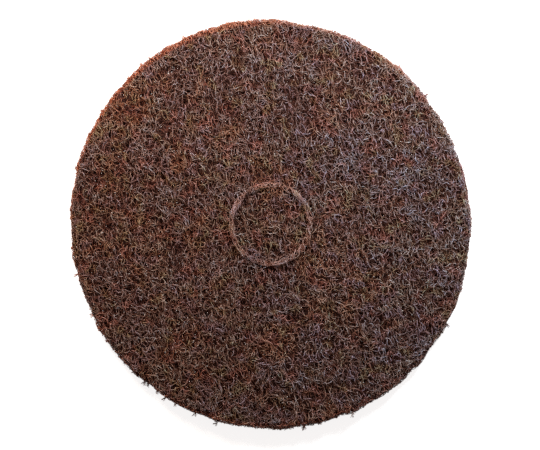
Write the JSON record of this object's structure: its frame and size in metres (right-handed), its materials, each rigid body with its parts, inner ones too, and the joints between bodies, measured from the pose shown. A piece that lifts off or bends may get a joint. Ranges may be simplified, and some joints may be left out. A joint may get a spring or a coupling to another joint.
{
  "type": "surface conditioning disc",
  "caption": "Round abrasive disc of needled, resin-bonded nylon web with a flat back, for blending and cleaning metal. A raised ring marks a 22 mm arbor hole that is not cut through.",
  "frame": {"origin": "centre of the flat back face", "axes": "+Z along the disc's axis, out of its working face; +Y along its slightly longer diameter, the picture's upward direction"},
  "size_m": [0.1141, 0.1169, 0.0057],
  "materials": {
    "abrasive_web": "matte"
  },
  "bodies": {
    "root": {"abrasive_disc": "abrasive_web"}
  },
  "joints": []
}
